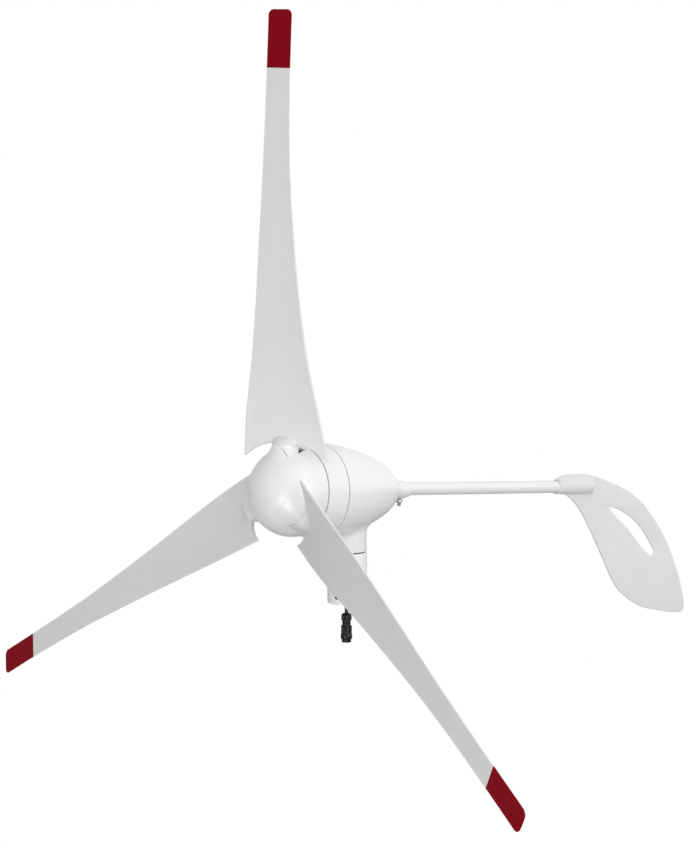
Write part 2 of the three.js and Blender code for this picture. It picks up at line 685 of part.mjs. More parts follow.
// One blade section as a loop of points, leading edge first along its downwind side and back along the
// other. In a blade's own frame +Z runs outwards and -X is the side that leads.
const CHORD_STEPS = [0, 0.08, 0.36, 0.7, 1];
function bladeSection(span, sag) {
  const [chord, pitch, upwind, sweep] = [1, 2, 3, 4].map((column) => sectionValue(column, span));
  const bend = Math.max(0, (span - 60) / (TIP_TO - 60)) ** 2;
  const thickness = 2.4 + 0.062 * chord;
  const [cos, sin] = [Math.cos(degToRad(pitch)), Math.sin(degToRad(pitch))];
  const place = (along, across) => {
    const x = -sweep - sag[0] * bend - along * cos - across * sin;
    const y = -upwind + sag[1] * bend - along * sin + across * cos;
    return new THREE.Vector3(x, y, span);
  };
  const half = (t) => (thickness / 2) * Math.max(0.3 + 0.1 * (1 - t), Math.sqrt(2.6 * t) * (1 - t) + 0.35 * t);
  const camber = (t) => 0.028 * chord * 4 * t * (1 - t);
  const side = (sign) => (t) => place((0.5 - t) * chord, camber(t) + sign * half(t));
  return [...CHORD_STEPS.map(side(1)), ...CHORD_STEPS.toReversed().map(side(-1))];
}

// What is cut away below one wing of the fishtail root; side is +1 on the leading side.
function fishtailCut(side) {
  const { neck, depth, leadCurve, trailCurve, reach, bottom } = FISHTAIL;
  const curve = side > 0 ? leadCurve : trailCurve;
  const cut = new THREE.Shape();
  cut.moveTo(neck, bottom);
  for (let across = neck; across <= reach; across += 9) {
    cut.lineTo(across, depth - curve * (across - neck) ** 2);
  }
  cut.lineTo(reach, bottom - 60);
  cut.lineTo(neck, bottom - 60);
  const geometry = new THREE.ExtrudeGeometry(cut, { depth: 120, bevelEnabled: false });
  geometry.translate(0, 0, -60);
  const pitch = degToRad(BLADE_SECTIONS[0][2]);
  const chordwise = new THREE.Vector3(-Math.cos(pitch), -Math.sin(pitch), 0).multiplyScalar(side);
  const outwards = new THREE.Vector3(0, 0, 1);
  const normal = new THREE.Vector3().crossVectors(chordwise, outwards);
  geometry.applyMatrix4(new THREE.Matrix4().makeBasis(chordwise, outwards, normal));
  return solidOf(geometry);
}

function tipCorners() {
  const chord = sectionValue(1, TIP_TO);
  const outline = new THREE.Shape();
  const [half, top] = [chord / 2 + 30, TIP_TO];
  const edge = chord / 2 - 0.5;
  outline.moveTo(-half, TIP_FROM - 300);
  outline.lineTo(-half, top - TIP_CORNER);
  outline.lineTo(-edge, top - TIP_CORNER);
  outline.absarc(-edge + TIP_CORNER, top - TIP_CORNER, TIP_CORNER, Math.PI, Math.PI / 2, true);
  outline.lineTo(edge - TIP_CORNER, top);
  outline.absarc(edge - TIP_CORNER, top - TIP_CORNER, TIP_CORNER, Math.PI / 2, 0, true);
  outline.lineTo(half, top - TIP_CORNER);
  outline.lineTo(half, TIP_FROM - 300);
  const geometry = new THREE.ExtrudeGeometry(outline, { depth: 400, bevelEnabled: false, curveSegments: 5 });
  // The outline's X, Y and depth lie along the blade frame's X, Z and -Y.
  const lay = new THREE.Matrix4().makeBasis(
    new THREE.Vector3(1, 0, 0),
    new THREE.Vector3(0, 0, 1),
    new THREE.Vector3(0, -1, 0),
  );
  return solidOf(geometry.applyMatrix4(lay).translate(0, 200, 0));
}

function addBlade(rotor, number, sag) {
  const frame = new THREE.Group();
  frame.rotation.y = (-2 * Math.PI * number) / BLADES;
  rotor.add(frame);
  const spans = [40, 75, 110, 150, 200, 260, 330, 410, 490, TIP_FROM - GAP];
  let blade = skinned(spans.map((span) => bladeSection(span, sag)));
  const collarRoom = rodZ(COLLAR.outer + 2 * GAP, 20, COLLAR.top + GAP, 20).translate([0, ROOT_AXIS, 0]);
  blade = blade.subtract(fishtailCut(1)).subtract(fishtailCut(-1)).subtract(collarRoom);
  const boss = turnedZ(
    [
      [0, ROOT_BOSS.from],
      [ROOT_BOSS.radius, ROOT_BOSS.from],
      [ROOT_BOSS.radius, ROOT_BOSS.shoulder],
      [ROOT_BOSS.radius - 2.5, ROOT_BOSS.shoulder + 6],
      [ROOT_BOSS.radius - 8.5, ROOT_BOSS.shoulder + 14],
      [0, ROOT_BOSS.to],
    ],
    20,
  );
  const spigot = rodZ(SPIGOT.radius, SPIGOT.from, SPIGOT.to, 16);
  blade = blade.add(boss.translate([0, ROOT_AXIS, 0]));
  blade = blade.subtract(rodZ(80, 0, ROOT_BOSS.from, 20)).add(spigot.translate([0, ROOT_AXIS, 0]));
  const boltHole = rodY(BLADE_BOLT.radius + GAP, -40, 40, 12).translate([0, 0, BLADE_BOLT.circle]);
  piece(frame, `blade_${number + 1}`, blade.subtract(boltHole), "blade_white");

  const tipSpans = [TIP_FROM, 606, TIP_TO + 1];
  const corners = tipCorners().translate([-sag[0] - 0.2, 0, 0]);
  const tip = skinned(tipSpans.map((span) => bladeSection(span, sag))).intersect(corners);
  piece(frame, `blade_tip_${number + 1}`, tip, "blade_red");
}

// ---------------------------------------------------------------- the assembly

function buildTurbine() {
  const turbine = new THREE.Group();
  const head = new THREE.Group();
  const tilt = degToRad(TILT_DEGREES);
  head.position.set(0, -YAW_STATION * Math.cos(tilt), AXIS_HEIGHT + YAW_STATION * Math.sin(tilt));
  head.rotation.x = -tilt;
  turbine.add(head);
  const rotor = new THREE.Group();
  rotor.position.set(0, HUB_STATION, 0);
  rotor.rotation.y = BLADE_LEAN;
  head.add(rotor);

  addPoleSleeve(turbine);
  addYawShaft(turbine);
  addSlipRings(turbine);
  addCable(turbine);
  addConnector(turbine);
  addNacelleShell(head);
  addGenerator(head);
  addMainBearings(head, rotor);
  addTail(head);
  addSpinner(rotor);
  addHub(rotor);
  BLADE_SAG.forEach((sag, number) => addBlade(rotor, number, sag));
  return turbine;
}

export default buildTurbine();
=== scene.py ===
# A small pole-top wind turbine: smooth visible pieces, materials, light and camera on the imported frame.
# Shapes are written in millimetres in the frame of the body they belong to, and placed in metres.
import json
import math

import bmesh
import bpy
from mathutils import Matrix, Vector

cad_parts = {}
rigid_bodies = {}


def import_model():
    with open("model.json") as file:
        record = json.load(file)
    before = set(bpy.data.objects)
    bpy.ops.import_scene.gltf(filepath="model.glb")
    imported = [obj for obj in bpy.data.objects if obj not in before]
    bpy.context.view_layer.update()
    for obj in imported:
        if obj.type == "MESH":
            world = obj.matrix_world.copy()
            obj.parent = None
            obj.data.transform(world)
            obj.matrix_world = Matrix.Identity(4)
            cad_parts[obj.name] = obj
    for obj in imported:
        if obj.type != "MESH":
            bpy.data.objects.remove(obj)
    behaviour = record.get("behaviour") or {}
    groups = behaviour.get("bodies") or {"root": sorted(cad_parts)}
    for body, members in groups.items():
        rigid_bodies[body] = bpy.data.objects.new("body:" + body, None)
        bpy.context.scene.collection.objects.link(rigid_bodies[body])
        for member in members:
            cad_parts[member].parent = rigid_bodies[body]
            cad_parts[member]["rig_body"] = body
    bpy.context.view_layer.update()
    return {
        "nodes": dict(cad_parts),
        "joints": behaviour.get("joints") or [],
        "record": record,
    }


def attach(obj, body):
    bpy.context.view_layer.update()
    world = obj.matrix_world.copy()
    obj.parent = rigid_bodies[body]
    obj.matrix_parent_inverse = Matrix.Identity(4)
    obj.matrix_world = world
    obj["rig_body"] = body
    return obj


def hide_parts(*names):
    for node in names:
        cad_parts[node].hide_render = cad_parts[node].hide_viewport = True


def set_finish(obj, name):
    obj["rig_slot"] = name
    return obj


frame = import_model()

MM = 0.001
TURN = 2 * math.pi
FINE = 128  # facets round a casing
MEDIUM = 64  # facets round a boom, stud or screw
CLEARANCE = 0.2  # between a bolt and its hole

# Sleeve and neck, about the yaw axis
SLEEVE = {"radius": 28, "bore": 24.3, "top": 71, "seat": 53, "floor": 63, "hole": 6}
CLAMP_SCREW = {"radius": 3, "height": 10.5, "length": 3, "first_angle": -75, "count": 3}
NECK = {"radius": 27.8, "bottom": 72.8, "bore": 23.8, "fillet": 9}

# Stations along the machine axis, downwind; it meets the yaw axis at YAW_STATION
YAW_STATION = 10.5
SPINNER = {"centre": -90, "length": 60, "radius": 62.5, "rim": -77.4, "wall": 2.6}
HOUSING = {"front": -75.6, "rear": -44.3, "front_radius": 61.5, "rear_radius": 66.5, "wall": 3.5}
SHELL_FRONT = -42.7
SHELL_WALL = 4
SHELL_OUTLINE = [
    (-42.7, 66.5), (-26, 65.3), (-6, 62.2), (19, 56.4), (44, 48.6), (69, 38), (88, 26), (98, 18.2),
]
SHELL_FLOOR = 86  # where the shell's hollow ends
TAIL_SOCKET = {"from": 96, "end": 119, "lip": 128, "radius": 12.5, "lip_radius": 10.2}

# Hub and blades, in the rotor's frame
HUB_STATION = -104
BLADE_LEAN = math.radians(1.75)
ROOT_AXIS = -4
SPIGOT = {"radius": 12, "from": 18.5, "to": 47.5}
ROOT_BOSS = {"radius": 16.8, "from": 45.5, "shoulder": 63, "to": 76, "blend": 6}
COLLAR = {"inner": 17.1, "outer": 18.1, "high": 64.8, "fillet": 12}
# The parting line down each collar: degrees round from the upwind side towards the trailing edge, and height
PARTING = [
    (-6, 65), (8, 64.6), (20, 63.6), (28, 62), (35, 60), (41, 58), (46, 56), (50, 54), (54, 52), (58, 49),
]
GROOVE = {"half_width": 0.3, "from": 17.4, "to": 28}
WINDOW = [(12.5, 9.7), (20, 18), (25.5, -2)]  # the small opening beside each collar, in the blade's own frame
TIP_FROM = 568
TIP_TO = 645
TIP_CORNER = 8
FISHTAIL = {"neck": 17, "depth": 65, "lead_curve": 0.0115, "trail_curve": 0.0096, "blunt": 45}
# Distance from the rotor axis, chord, pitch in degrees, stand-off upwind, sweep towards the leading edge
BLADE_SECTIONS = [
    (40, 126, 26, 2.5, -3),
    (110, 110, 22, 14.5, -1),
    (170, 92, 17.7, 22.8, 1.3),
    (250, 73, 15.4, 32.4, 3.7),
    (340, 57, 14.9, 42.3, 5),
    (440, 43.5, 14.7, 52.3, 4.7),
    (550, 38, 14.1, 61.8, 2.6),
    (650, 37.5, 13.6, 69.4, 0),
]
# How far each resting blade's tip has sagged: towards the leading edge, downwind
BLADE_SAG = [(0, 0), (10, 14), (-4, -9)]
SAG_FROM = 60
# The aerofoil: its full half thickness is base + share * chord; nose and tail are the rounded parts of the chord
AEROFOIL = {"base": 1.2, "share": 0.031, "camber": 0.028, "nose": 0.022, "tail": 0.012}

# Tail
BOOM = {"radius": 9.3, "bore": 7.8, "from": 96, "to": 500, "rise": 1.5}
TAIL_BOLT = {"radius": 2.5, "station": 114, "low": -23, "high": 10.5, "nut_top": -13.6, "nut_height": 4.5}
VANE = {"thickness": 3.2, "front": 442, "pocket_end": 522, "pocket_radius": 11.6}
VANE_TOP = [(442, 12), (453, 17.5), (473, 20), (513, 19.6), (553, 11), (608, -6), (648, -27)]

# Output cable: its route down from the grommet, then the connector hanging on it
CABLE_DIAMETER = 5
CABLE_ROUTE = [
    (0, 0, 52.7), (0, 0, 48.7), (-0.02, -0.02, 44.7), (-0.07, -0.08, 40.7),
    (-0.15, -0.17, 36.7), (-0.25, -0.28, 32.7), (-0.37, -0.41, 28.7), (-0.49, -0.54, 24.7),
    (-0.6, -0.66, 20.7), (-0.7, -0.77, 16.7), (-0.79, -0.87, 12.7), (-0.86, -0.95, 8.7),
    (-0.91, -1, 4.7), (-0.95, -1.04, 0.7), (-0.98, -1.07, -3.3), (-1, -1.1, -7.3),
    (-1.01, -1.11, -11.3), (-1.02, -1.12, -15.6),
]
CONNECTOR_TOP = (-1.03, -1.13, -15.9)
CONNECTOR_LEAN = (-0.3, -0.32, -40.5)

# Camera, in metres, in the frame of the whole object
CAMERA = {
    "at": (2.42343, -2.19752, 0.5938),
    "looks": (-0.7357, 0.66919, -0.10453),
    "up": (-0.07028, 0.07806, 0.99446),
}
CAMERA_LENS = 100.7
CAMERA_SENSOR = 36
CAMERA_SHIFT = (0.0004, 0.0032)

# Studio, in metres: each softbox's place, what it points at, its size and its power
SOFTBOXES = {
    "right": ((2.6, -0.6, 0.6), (0, 0, 0.1), 1.6, 14.5),
    "low_front": ((1.0, -2.6, -0.7), (0, 0, 0.1), 1.2, 22),
}
ROOM = {"strength": 0.99, "lean": (0.386, 0.243, -0.372)}  # brighter towards the lean
FLOOR = {"radius": 30, "height": -1.1, "colour": (0.42, 0.42, 0.42, 1), "roughness": 0.9}
WHITE = (1, 1, 1, 1)

# ---------------------------------------------------------------- frames of the three bodies

spin = next(joint for joint in frame["joints"] if joint["name"] == "rotor_spin")
upwind = Vector(spin["axis"]).normalized()
tilt = math.atan2(upwind.z, -upwind.y)
head = Matrix.Translation(spin["pos_m"]) @ Matrix.Rotation(-tilt, 4, "X")
head = head @ Matrix.Translation((0, -YAW_STATION * MM, 0))
rotor = head @ Matrix.Translation((0, HUB_STATION * MM, 0)) @ Matrix.Rotation(BLADE_LEAN, 4, "Y")
mast = Matrix.Identity(4)
at_tail_bolt = head @ Matrix.Translation((0, TAIL_BOLT["station"] * MM, 0))


def blade_frame(number):
    return rotor @ Matrix.Rotation(-TURN * number / 3, 4, "Y")


# ---------------------------------------------------------------- materials


def surface(slot, colour, roughness, metallic=0.0, mottle=0.02, mottle_scale=14.0, grain=900.0, depth=0.05,
            coat=0.0, shine=0.5):
    """A node material: a slightly mottled colour, uneven roughness and a fine grain in the surface."""
    material = bpy.data.materials.new(slot)
    material.use_nodes = True
    nodes, links = material.node_tree.nodes, material.node_tree.links
    shader = nodes["Principled BSDF"]
    shader.inputs["Metallic"].default_value = metallic
    shader.inputs["Coat Weight"].default_value = coat
    shader.inputs["Specular IOR Level"].default_value = shine
    shader.inputs["Coat Roughness"].default_value = 0.12
    place = nodes.new("ShaderNodeTexCoord")

    def noise(scale, detail):
        node = nodes.new("ShaderNodeTexNoise")
        node.inputs["Scale"].default_value = scale
        node.inputs["Detail"].default_value = detail
        links.new(place.outputs["Object"], node.inputs["Vector"])
        return node

    cloud = noise(mottle_scale, 3)
    ramp = nodes.new("ShaderNodeValToRGB")
    ramp.color_ramp.elements[0].position = 0.3
    ramp.color_ramp.elements[1].position = 0.7
    ramp.color_ramp.elements[0].color = [c * (1 - mottle) for c in colour] + [1]
    ramp.color_ramp.elements[1].color = [min(1, c * (1 + mottle)) for c in colour] + [1]
    links.new(cloud.outputs["Fac"], ramp.inputs["Fac"])
    links.new(ramp.outputs["Color"], shader.inputs["Base Color"])

    rough = nodes.new("ShaderNodeMapRange")
    rough.inputs["To Min"].default_value = roughness * 0.85
    rough.inputs["To Max"].default_value = min(1, roughness * 1.15)
    links.new(noise(mottle_scale * 5, 4).outputs["Fac"], rough.inputs["Value"])
    links.new(rough.outputs["Result"], shader.inputs["Roughness"])

    bump = nodes.new("ShaderNodeBump")
    bump.inputs["Strength"].default_value = depth
    bump.inputs["Distance"].default_value = 0.0005
    links.new(noise(grain, 2).outputs["Fac"], bump.inputs["Height"])
    links.new(bump.outputs["Normal"], shader.inputs["Normal"])
    return material


def brushed(slot, colour, roughness, stretch):
    """Turned or drawn metal: the same surface with its grain drawn out along one direction."""
    material = surface(slot, colour, roughness, metallic=1.0, mottle=0.05, grain=260.0, depth=0.12)
    nodes, links = material.node_tree.nodes, material.node_tree.links
    mapping = nodes.new("ShaderNodeMapping")
    mapping.inputs["Scale"].default_value = stretch
    links.new(nodes["Texture Coordinate"].outputs["Object"], mapping.inputs["Vector"])
    bump = nodes["Bump"]
    links.new(mapping.outputs["Vector"], bump.inputs["Height"].links[0].from_node.inputs["Vector"])
    return material


MATERIALS = {
    "white_shell": surface("white_shell", (0.87, 0.868, 0.865), 0.3, mottle=0.01, grain=420,
                           depth=0.06, coat=0.35),
    "blade_white": surface("blade_white", (0.775, 0.775, 0.775), 0.5, mottle=0.012, grain=1600,
                           depth=0.1, shine=0.4),
    "blade_red": surface("blade_red", (0.24, 0.001, 0.008), 0.5, mottle=0.05, grain=1600,
                         depth=0.12, shine=0.06),
    "steel": brushed("steel", (0.4, 0.41, 0.42), 0.3, (1, 1, 9)),
    "dark_steel": brushed("dark_steel", (0.14, 0.145, 0.15), 0.4, (1, 1, 9)),
    "aluminium": brushed("aluminium", (0.66, 0.67, 0.68), 0.38, (9, 1, 9)),
    "laminations": brushed("laminations", (0.16, 0.165, 0.17), 0.5, (1, 30, 1)),
    "copper": surface("copper", (0.5, 0.17, 0.06), 0.35, metallic=0.9, mottle=0.2, mottle_scale=260),
    "magnet": surface("magnet", (0.05, 0.052, 0.056), 0.45, metallic=0.6, mottle=0.1),
    "brass": brushed("brass", (0.56, 0.37, 0.12), 0.3, (1, 1, 9)),
    "carbon": surface("carbon", (0.02, 0.021, 0.022), 0.75, mottle=0.3, mottle_scale=400, depth=0.2),
    "insulator": surface("insulator", (0.03, 0.031, 0.034), 0.55, mottle=0.1, depth=0.1),
    "cable_black": surface("cable_black", (0.012, 0.012, 0.013), 0.6, mottle=0.2, grain=700, depth=0.15),
    "connector_black": surface("connector_black", (0.006, 0.006, 0.007), 0.34, mottle=0.15,
                               depth=0.1, shine=0.35),
}

for part in frame["record"]["subparts"]:
    node = frame["nodes"][part["node"]]
    node.data.materials.clear()
    node.data.materials.append(MATERIALS[part["material_slot"]])

# ---------------------------------------------------------------- mesh helpers


def finish_mesh(mesh, sharp=38):
    """Merges doubled points, faces the mesh outwards and smooths all but its sharp edges."""
    work = bmesh.new()
    work.from_mesh(mesh)
    bmesh.ops.remove_doubles(work, verts=work.verts, dist=2e-6)
    bmesh.ops.dissolve_degenerate(work, edges=work.edges, dist=1e-6)
    bmesh.ops.recalc_face_normals(work, faces=work.faces)
    work.to_mesh(mesh)
    work.free()
    mesh.shade_smooth()
    mesh.set_sharp_from_angle(angle=math.radians(sharp))


def piece(name, shapes, place, body, slot, replaces=(), sharp=38):
    """One visible piece from (points, faces) shapes in millimetres, riding on a body."""
    points = []
    faces = []
    for shape_points, shape_faces in shapes:
        start = len(points)
        points += [place @ (Vector(point) * MM) for point in shape_points]
        faces += [[start + k for k in face] for face in shape_faces]
    mesh = bpy.data.meshes.new(name)
    mesh.from_pydata(points, [], faces)
    finish_mesh(mesh, sharp)
    mesh.materials.append(MATERIALS[slot])
    made = bpy.data.objects.new(name, mesh)
    bpy.context.scene.collection.objects.link(made)
    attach(made, body)
    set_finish(made, slot)
    if replaces:
        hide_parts(*replaces)
    return made


def cut(made, shapes, place, sharp=38):
    """Cuts the shapes' volume out of a piece."""
    cutter = piece("cutter", shapes, place, made["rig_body"], made["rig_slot"])
    modifier = made.modifiers.new("cut", "BOOLEAN")
    modifier.operation = "DIFFERENCE"
    modifier.solver = "EXACT"
    modifier.object = cutter
    bpy.context.view_layer.update()
    depsgraph = bpy.context.evaluated_depsgraph_get()
    mesh = bpy.data.meshes.new_from_object(made.evaluated_get(depsgraph))
    made.modifiers.clear()
    made.data = mesh
    mesh.shade_smooth()
    mesh.set_sharp_from_angle(angle=math.radians(sharp))
    bpy.data.objects.remove(cutter)


def loop_faces(rings, around, closed_along):
    """Quads over rings of points, each of the same number of points, closed round each ring."""
    faces = []
    for ring in range(rings if closed_along else rings - 1):
        here, after = ring * around, (ring + 1) % rings * around
        for k in range(around):
            following = (k + 1) % around
            faces.append([here + k, here + following, after + following, after + k])
    return faces


def turned(profile, facets=FINE, wave=None):
    """A solid of revolution about +Z from a closed profile of (radius, height); wave scales the radius."""
    points = []
    for radius, height in profile:
        for k in range(facets):
            angle = TURN * k / facets
            reach = radius * (wave(angle, height) if wave else 1)
            points.append((reach * math.cos(angle), reach * math.sin(angle), height))
    return points, loop_faces(len(profile), facets, True)


def along_y(shape):
    """The same shape with its +Z turned to +Y."""
    points, faces = shape
    return [(x, z, -y) for x, y, z in points], faces


def moved(shape, x=0, y=0, z=0):
    points, faces = shape
    return [(px + x, py + y, pz + z) for px, py, pz in points], faces


def rounded(corners, steps=5):
    """A closed profile from (radius, height, fillet) corners, each fillet cut as a smooth curve."""
    profile = []
    for k, (radius, height, fillet) in enumerate(corners):
        here = Vector((radius, height))
        if not fillet:
            profile.append(tuple(here))
            continue
        before = Vector(corners[k - 1][:2])
        after = Vector(corners[(k + 1) % len(corners)][:2])
        start = here + (before - here).normalized() * fillet
        end = here + (after - here).normalized() * fillet
        for i in range(steps + 1):
            t = i / steps
            profile.append(tuple(start * (1 - t) ** 2 + here * 2 * t * (1 - t) + end * t * t))
    return profile


def rod(radius, low, high, edge=0.3, facets=MEDIUM):
    return turned(rounded([(0, low, 0), (radius, low, edge), (radius, high, edge), (0, high, 0)], 3), facets)


def tube(inner, outer, low, high, edge=0.3, facets=MEDIUM):
    corners = [(inner, low, edge), (outer, low, edge), (outer, high, edge), (inner, high, edge)]
    return turned(rounded(corners, 3), facets)


def smooth_row(rows, column, x):
    """Reads one column of a table at x by a smooth curve through its rows, whose first column is x."""
    last = len(rows) - 1
    k = max([i for i in range(last) if rows[i][0] <= x] or [0])

    def slope(i):
        before, after = rows[max(0, i - 1)], rows[min(last, i + 1)]
        return (after[column] - before[column]) / (after[0] - before[0])

    step = rows[k + 1][0] - rows[k][0]
    t = (x - rows[k][0]) / step
    rise = rows[k + 1][column] - rows[k][column]
    first, second = slope(k) * step, slope(k + 1) * step
    square, cube = 3 * rise - 2 * first - second, first + second - 2 * rise
    return rows[k][column] + t * first + t * t * square + t**3 * cube


def blade_section(span):
    """A blade's chord, pitch, stand-off and sweep at a distance from the rotor axis."""
    return [smooth_row(BLADE_SECTIONS, column, span) for column in (1, 2, 3, 4)]


def ease(t):
    t = min(1, max(0, t))
    return t * t * (3 - 2 * t)


def bezier(start, one, two, end, t):
    """A point at t of a cubic Bezier curve."""
    u = 1 - t
    return start * u**3 + one * 3 * t * u**2 + two * 3 * t * t * u + end * t**3


def rounding(distance, length):
    """How far an edge has risen at a distance in from it, when it is rounded over a length."""
    return math.sqrt(1 - (1 - min(1, distance / length)) ** 2)


# ---------------------------------------------------------------- camera and output cable


def add_camera():
    camera = bpy.data.objects.new("camera", bpy.data.cameras.new("camera"))
    bpy.context.scene.collection.objects.link(camera)
    looks = Vector(CAMERA["looks"]).normalized()
    up = Vector(CAMERA["up"])
    right = looks.cross(up).normalized()
    up = right.cross(looks)
    turn = Matrix((right, up, -looks)).transposed().to_4x4()
    camera.matrix_world = Matrix.Translation(CAMERA["at"]) @ turn
    camera.data.lens = CAMERA_LENS
    camera.data.sensor_width = CAMERA_SENSOR
    camera.data.shift_x, camera.data.shift_y = CAMERA_SHIFT
    camera.data.clip_start, camera.data.clip_end = 0.05, 100
    bpy.context.scene.camera = camera


def add_cable():
    """The free cable: a tube along its route, ending in the connector."""
    curve = bpy.data.curves.new("cable_jacket", "CURVE")
    curve.dimensions = "3D"
    curve.bevel_depth = CABLE_DIAMETER / 2 * MM
    curve.bevel_resolution = 6
    curve.use_fill_caps = True
    spline = curve.splines.new("POLY")
    spline.points.add(len(CABLE_ROUTE) - 1)
    for point, at in zip(spline.points, CABLE_ROUTE):
        point.co = (*(Vector(at) * MM), 1)
    curve.materials.append(MATERIALS["cable_black"])
    cable = bpy.data.objects.new("cable_jacket", curve)
    bpy.context.scene.collection.objects.link(cable)
    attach(cable, "pole_mount")
    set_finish(cable, "cable_black")
    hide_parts("output_cable")
    return cable


def ribs(count, depth, low, high):
    """A wave of rounded ribs round a grip, fading out at both ends of its height."""

    def wave(angle, height):
        inside = ease((height - low) / 1.2) * ease((high - height) / 1.2)
        return 1 - depth * inside * (0.5 - 0.5 * math.cos(count * angle)) ** 0.6

    return wave


def levels(low, high, count):
    return [low + (high - low) * k / count for k in range(count + 1)]


def add_connector():
    """The waterproof connector's gland nut, body and coupling ring, about the cable's end."""
    down = Vector(CONNECTOR_LEAN).normalized()
    turn = Vector((0, 0, -1)).rotation_difference(down).to_matrix().to_4x4()
    place = Matrix.Translation(Vector(CONNECTOR_TOP) * MM) @ turn
    gland = [(0, -10), (6.9, -10)] + [(7.4, z) for z in levels(-9.5, -3.6, 14)]
    gland += [(7.1, -2.6), (6.6, -1.6), (5.9, -0.8), (4.6, -0.2), (3.4, 0), (0, 0)]
    nut = piece("gland_nut", [turned(gland, 144, ribs(12, 0.1, -9, -2.4))], place, "pole_mount",
                "connector_black", ["connector_gland"])
    waist = rounded([(0, -41.5, 0), (6.6, -41.5, 1), (6.6, -17.4, 0.4), (5.9, -16.6, 0.4), (5.9, -14.2, 0.3),
                     (6.3, -13.8, 0.3), (6.3, -12.4, 0.3), (5.9, -12, 0.3), (5.9, -10.3, 0.1), (0, -10.3, 0)])
    body = piece("plug_body", [turned(waist, 96)], place, "pole_mount", "connector_black", ["connector_body"])
    grip = [(6.95, z) for z in (-37.2, -18)]
    outer = [(7.3, -17.9)] + [(7.6, z) for z in levels(-18.4, -28.9, 20)]
    outer += [(7.9, -29.4), (8.1, -29.8), (8.1, -35.2), (7.9, -36.2), (7.5, -36.9)]
    ring = piece("grip_ring", [turned(grip + outer, 144, ribs(16, 0.085, -29.1, -18.2))], place,
                 "connector_ring", "connector_black", ["coupling_ring"])
    return [nut, body, ring]


add_camera()
cable = add_cable()
add_connector()

# ---------------------------------------------------------------- collars that grow out of a surface


def skirt(surface_height, inner, outer, rim, fillet, foot=2.0, facets=144):
    """A tube about +Z that flares smoothly into the surface below it.

    surface_height(x, y) is the surface under a point and rim(angle) the height of the tube's open end."""
    steps = 9
    pull = 0.55  # how far each end of the flare runs straight, as a part of its size
    rings = []
    for k in range(facets):
        angle = TURN * k / facets
        c, s = math.cos(angle), math.sin(angle)

        def ground(radius):
            return surface_height(radius * c, radius * s)

        top = rim(angle)
        rise = min(fillet, max(0.4, top - 0.6 - ground(outer)))
        reach = max(rise, 0.6 * fillet)
        start = Vector((outer + reach, ground(outer + reach)))
        slope = ground(outer + reach + 0.5) - ground(outer + reach - 0.5)
        inwards = Vector((-1, -slope)).normalized()
        end = Vector((outer, ground(outer) + rise))
        one, two = start + inwards * reach * pull, end - Vector((0, rise * pull))
        path = [Vector((outer + reach, start.y - foot)), start - Vector((0, 0.03))]
        path += [bezier(start, one, two, end, i / steps) for i in range(1, steps + 1)]
        edge = min(0.4, (outer - inner) / 6)
        lip = [(outer, top - edge), (outer - edge * 0.3, top - edge * 0.3), (outer - edge, top)]
        lip += [(inner + edge * 0.5, top), (inner, top - edge * 0.5), (inner, ground(inner) - foot)]
        path += [Vector(corner) for corner in lip]
        rings.append([(point.x * c, point.x * s, point.y) for point in path])
    around = len(rings[0])
    return [point for ring in rings for point in ring], loop_faces(len(rings), around, True)


# ---------------------------------------------------------------- pole sleeve


def hexagon(angle, height):
    """Scales a circle to a hexagon round it, the same at every height."""
    return 1 / math.cos((angle + math.pi / 6) % (math.pi / 3) - math.pi / 6)


def add_sleeve():
    r, bore, hole = SLEEVE["radius"], SLEEVE["bore"], SLEEVE["hole"]
    top, floor, seat = SLEEVE["top"], SLEEVE["floor"], SLEEVE["seat"]
    profile = rounded([
        (bore, 0, 0.8), (r, 0, 0.9), (r, top, 1.2), (r - 4, top, 0.3), (r - 4, floor, 0),
        (hole, floor, 0), (hole, seat, 0.5), (bore, seat, 0.6),
    ])
    sleeve = piece("sleeve_casting", [turned(profile)], mast, "pole_mount", "white_shell", ["pole_sleeve"])
    for i in range(CLAMP_SCREW["count"]):
        angle = math.radians(CLAMP_SCREW["first_angle"] + 360 / CLAMP_SCREW["count"] * i)
        place = Matrix.Rotation(angle, 4, "Z") @ Matrix.Translation((0, 0, CLAMP_SCREW["height"] * MM))
        place = place @ Matrix.Rotation(math.pi / 2, 4, "Y")
        cut(sleeve, [rod(CLAMP_SCREW["radius"] + 0.25, bore - 4, r + 4, 0)], place)
        outer = r - 0.5
        recess = turned([(0, outer - 2), (1.3, outer - 2), (1.3, outer + 1), (0, outer + 1)], 48, hexagon)
        shank = rod(CLAMP_SCREW["radius"], outer - CLAMP_SCREW["length"], outer, 0.35)
        grub = piece(f"grub_screw_{i + 1}", [shank], place, "pole_mount", "dark_steel",
                     [f"clamp_screw_{i + 1}"])
        cut(grub, [recess], place)


# ---------------------------------------------------------------- nacelle


def shell_radius(station):
    return smooth_row(SHELL_OUTLINE, 1, station)


def add_housing():
    front, rear, wall = HOUSING["front"], HOUSING["rear"], HOUSING["wall"]
    r0, r1 = HOUSING["front_radius"], HOUSING["rear_radius"]
    corners = [(18, front + 2.5, 0.5), (r0 - 9, front + 2.5, 0.8), (r0 - 6, front, 0.8), (r0, front, 0.7)]
    corners += [(r0 + 2.4, front + 12, 3), (r1, rear, 0.55), (r1 - wall, rear, 0.3)]
    corners += [(r0 + 2 - wall, front + 14, 0), (r0 - wall - 0.5, front + 6.5, 0), (18, front + 6.5, 0.3)]
    piece("generator_casing", [along_y(turned(rounded(corners)))], head, "head", "white_shell",
          ["generator_housing"])


